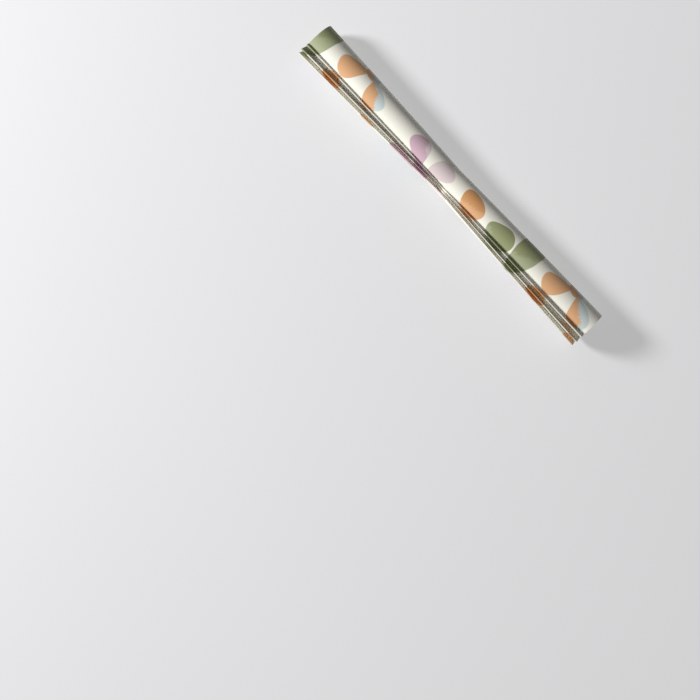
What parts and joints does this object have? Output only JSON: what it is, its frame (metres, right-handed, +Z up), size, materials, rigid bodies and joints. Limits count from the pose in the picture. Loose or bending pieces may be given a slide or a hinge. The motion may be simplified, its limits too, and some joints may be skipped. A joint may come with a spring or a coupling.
{
  "type": "wrapping paper roll",
  "caption": "Printed gift wrap sheets rolled up together on a card core tube, with fanned free edges that lift and a core that slides out.",
  "frame": {"origin": "under the middle of the roll, on the flat that it rests on", "axes": "+X along the roll, +Z up, the sheets' free edges on the -Y side of the top"},
  "size_m": [0.508, 0.0512, 0.0519],
  "materials": {
    "gift_wrap": "satin printed face, plain white back",
    "core_board": "uncoated kraft board, spiral wound"
  },
  "bodies": {
    "wound_roll": {"sheet_1_wound": "gift_wrap", "sheet_2_wound": "gift_wrap", "sheet_3_wound": "gift_wrap", "sheet_4_wound": "gift_wrap"},
    "core": {"core_tube": "core_board"},
    "free_end_1": {"sheet_1_free_end": "gift_wrap"},
    "free_end_2": {"sheet_2_free_end": "gift_wrap"},
    "free_end_3": {"sheet_3_free_end": "gift_wrap"},
    "free_end_4": {"sheet_4_free_end": "gift_wrap"}
  },
  "joints": [
    {"name": "free_end_1_lift", "type": "hinge", "parent": "wound_roll", "child": "free_end_1", "pos_m": [0, 0.018, 0.04429], "axis": [-1, 0, 0], "range_deg": [0, 50]},
    {"name": "free_end_2_lift", "type": "hinge", "parent": "wound_roll", "child": "free_end_2", "pos_m": [0, 0.01772, 0.04401], "axis": [-1, 0, 0], "range_deg": [0, 42.5]},
    {"name": "free_end_3_lift", "type": "hinge", "parent": "wound_roll", "child": "free_end_3", "pos_m": [0, 0.01744, 0.04374], "axis": [-1, 0, 0], "range_deg": [0, 35]},
    {"name": "free_end_4_lift", "type": "hinge", "parent": "wound_roll", "child": "free_end_4", "pos_m": [0, 0.01717, 0.04346], "axis": [-1, 0, 0], "range_deg": [0, 27.5]},
    {"name": "core_slide", "type": "slide", "parent": "wound_roll", "child": "core", "axis": [1, 0, 0], "range_m": [0, 0.52]}
  ],
  "couplings": [
    {"joint": "free_end_2_lift", "follows": "free_end_1_lift", "ratio": 0.85},
    {"joint": "free_end_3_lift", "follows": "free_end_1_lift", "ratio": 0.7},
    {"joint": "free_end_4_lift", "follows": "free_end_1_lift", "ratio": 0.55}
  ]
}
